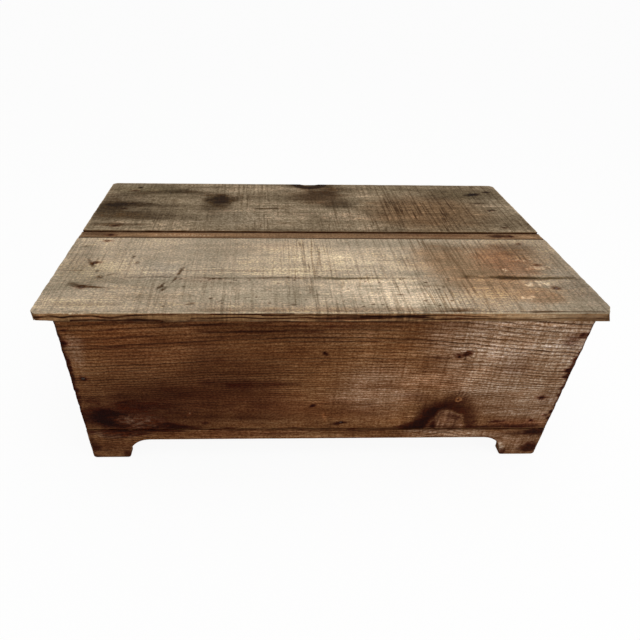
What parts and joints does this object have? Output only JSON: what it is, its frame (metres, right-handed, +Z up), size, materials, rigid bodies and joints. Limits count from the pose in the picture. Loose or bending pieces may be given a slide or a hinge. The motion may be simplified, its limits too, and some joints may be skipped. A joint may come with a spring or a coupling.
{
  "type": "blanket chest",
  "caption": "Antique plank blanket chest on bracket feet, nailed together from wide sawn boards, with a hinged flat lid of two boards and a narrow strip.",
  "frame": {"origin": "on the ground, under the middle of the lid's outline", "axes": "+X along the chest, to the right seen from the front; +Y from the front to the back; +Z up"},
  "size_m": [1.08, 0.64, 0.424],
  "materials": {
    "case_wood": "old sawn pine, dark stained and worn",
    "lid_wood": "old sawn pine, weathered, bare",
    "inside_wood": "old bare pine",
    "nail_iron": "rusted wrought iron",
    "hinge_iron": "dark worn iron"
  },
  "bodies": {
    "case": {"front_board": "case_wood", "front_base_board": "case_wood", "back_board": "case_wood", "back_base_board": "case_wood", "left_end_board": "case_wood", "left_end_base_board": "case_wood", "right_end_board": "case_wood", "right_end_base_board": "case_wood", "front_left_post": "inside_wood", "front_right_post": "inside_wood", "back_left_post": "inside_wood", "back_right_post": "inside_wood", "front_floor_cleat": "inside_wood", "back_floor_cleat": "inside_wood", "left_floor_cleat": "inside_wood", "right_floor_cleat": "inside_wood", "floor_board_1": "inside_wood", "floor_board_2": "inside_wood", "floor_board_3": "inside_wood", "left_hinge_case_leaf": "hinge_iron", "right_hinge_case_leaf": "hinge_iron", "left_hinge_pin": "hinge_iron", "right_hinge_pin": "hinge_iron", "case_leaf_screws": "hinge_iron", "front_nails": "nail_iron", "back_nails": "nail_iron", "end_nails": "nail_iron", "foot_nails": "nail_iron", "cleat_nails": "nail_iron", "floor_nails": "nail_iron"},
    "lid": {"lid_front_board": "lid_wood", "lid_strip": "lid_wood", "lid_rear_board": "lid_wood", "left_lid_batten": "inside_wood", "right_lid_batten": "inside_wood", "left_hinge_lid_leaf": "hinge_iron", "right_hinge_lid_leaf": "hinge_iron", "lid_leaf_screws": "hinge_iron", "lid_nails": "nail_iron"}
  },
  "joints": [
    {"name": "lid_hinge", "type": "hinge", "parent": "case", "child": "lid", "pos_m": [0, 0.305, 0.40485], "axis": [-1, 0, 0], "range_deg": [0, 108]}
  ]
}
